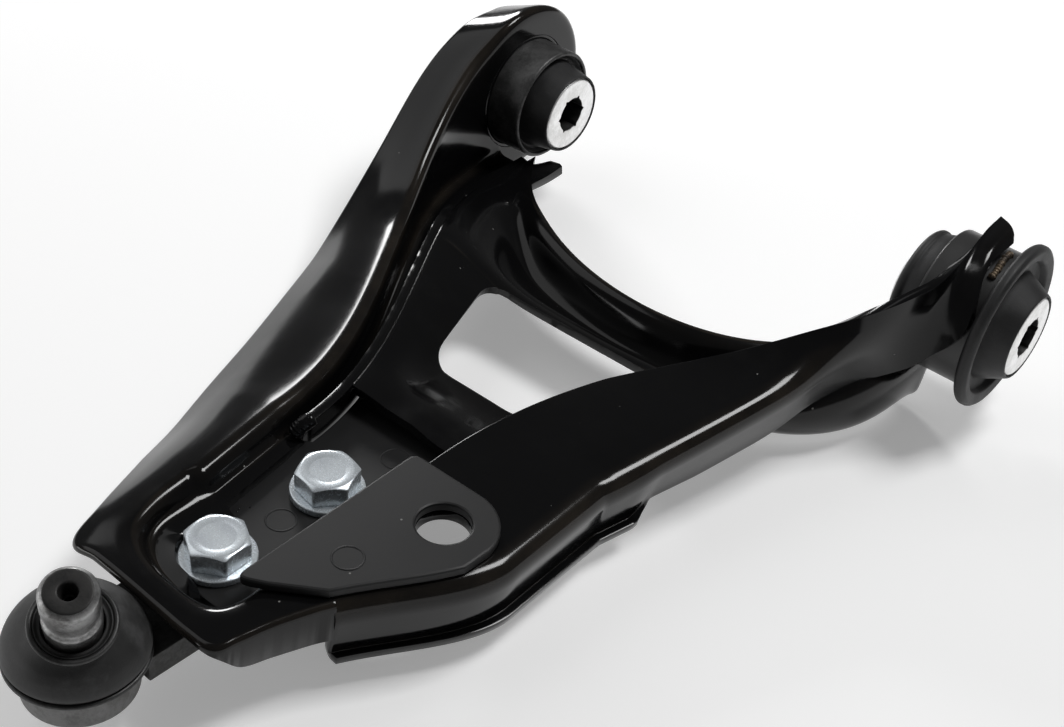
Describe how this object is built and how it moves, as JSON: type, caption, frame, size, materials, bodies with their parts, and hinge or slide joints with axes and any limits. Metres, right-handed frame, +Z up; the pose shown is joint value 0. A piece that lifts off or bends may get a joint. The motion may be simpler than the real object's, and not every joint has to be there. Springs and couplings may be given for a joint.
{
  "type": "control arm",
  "caption": "Front lower suspension control arm: a welded pressed-steel wishbone with rubber pivot bushes, a bolted ball joint with a dust boot and a bracket for the anti-roll-bar link.",
  "frame": {"origin": "centre of the front pivot bush, on the pivot axis", "axes": "+X along the pivot axis from the rear bush to the front bush, +Y outboard to the ball joint, +Z up"},
  "size_m": [0.222, 0.3195, 0.0684],
  "materials": {
    "black_coat": "gloss black dip coat",
    "plate_coat": "thin matte dark coat",
    "tube_coat": "satin black coat over a welded tube",
    "shell_steel": "dark oiled steel",
    "bush_rubber": "matte moulded rubber",
    "machined_steel": "turned faces",
    "forged_steel": "phosphated forging",
    "liner": "moulded bearing liner",
    "cap_steel": "plain pressed steel",
    "stud_steel": "oiled machined steel",
    "boot_rubber": "matte moulded rubber",
    "ring_steel": "spring wire",
    "zinc": "bright zinc plate"
  },
  "bodies": {
    "arm": {"front_leg": "black_coat", "inner_pan": "black_coat", "rear_leg": "black_coat", "link_bracket": "black_coat", "clamp_plate": "plate_coat", "rear_eye_tube": "tube_coat", "front_bush_shell": "shell_steel", "front_bush_rubber": "bush_rubber", "rear_bush_shell": "shell_steel", "rear_bush_rubber": "bush_rubber", "ball_joint_housing": "forged_steel", "ball_seat": "liner", "ball_joint_cap": "cap_steel", "dust_boot": "boot_rubber", "boot_base_ring": "ring_steel", "outer_clamp_bolt": "zinc", "inner_clamp_bolt": "zinc", "clamp_washers": "zinc", "clamp_nuts": "zinc"},
    "front_sleeve": {"front_bush_sleeve": "machined_steel"},
    "rear_sleeve": {"rear_bush_sleeve": "machined_steel"},
    "boot_collar": {"boot_neck_ring": "ring_steel"},
    "stud": {"ball_stud": "stud_steel"}
  },
  "joints": [
    {"name": "front_bush_twist", "type": "hinge", "parent": "arm", "child": "front_sleeve", "pos_m": [0, 0, 0], "axis": [1, 0, 0], "range_deg": [-25, 25], "stiffness_Nm_per_rad": 40},
    {"name": "rear_bush_twist", "type": "hinge", "parent": "arm", "child": "rear_sleeve", "pos_m": [-0.18, 0, 0], "axis": [1, 0, 0], "range_deg": [-25, 25], "stiffness_Nm_per_rad": 40},
    {"name": "stud_tilt", "type": "hinge", "parent": "arm", "child": "boot_collar", "pos_m": [-0.081, 0.27, -0.017], "axis": [1, 0, 0], "range_deg": [-12, 34], "deforming": ["dust_boot"]},
    {"name": "stud_spin", "type": "hinge", "parent": "boot_collar", "child": "stud", "pos_m": [-0.081, 0.27, -0.017], "axis": [-0.2541, 0.1908, 0.9482], "continuous": true}
  ]
}
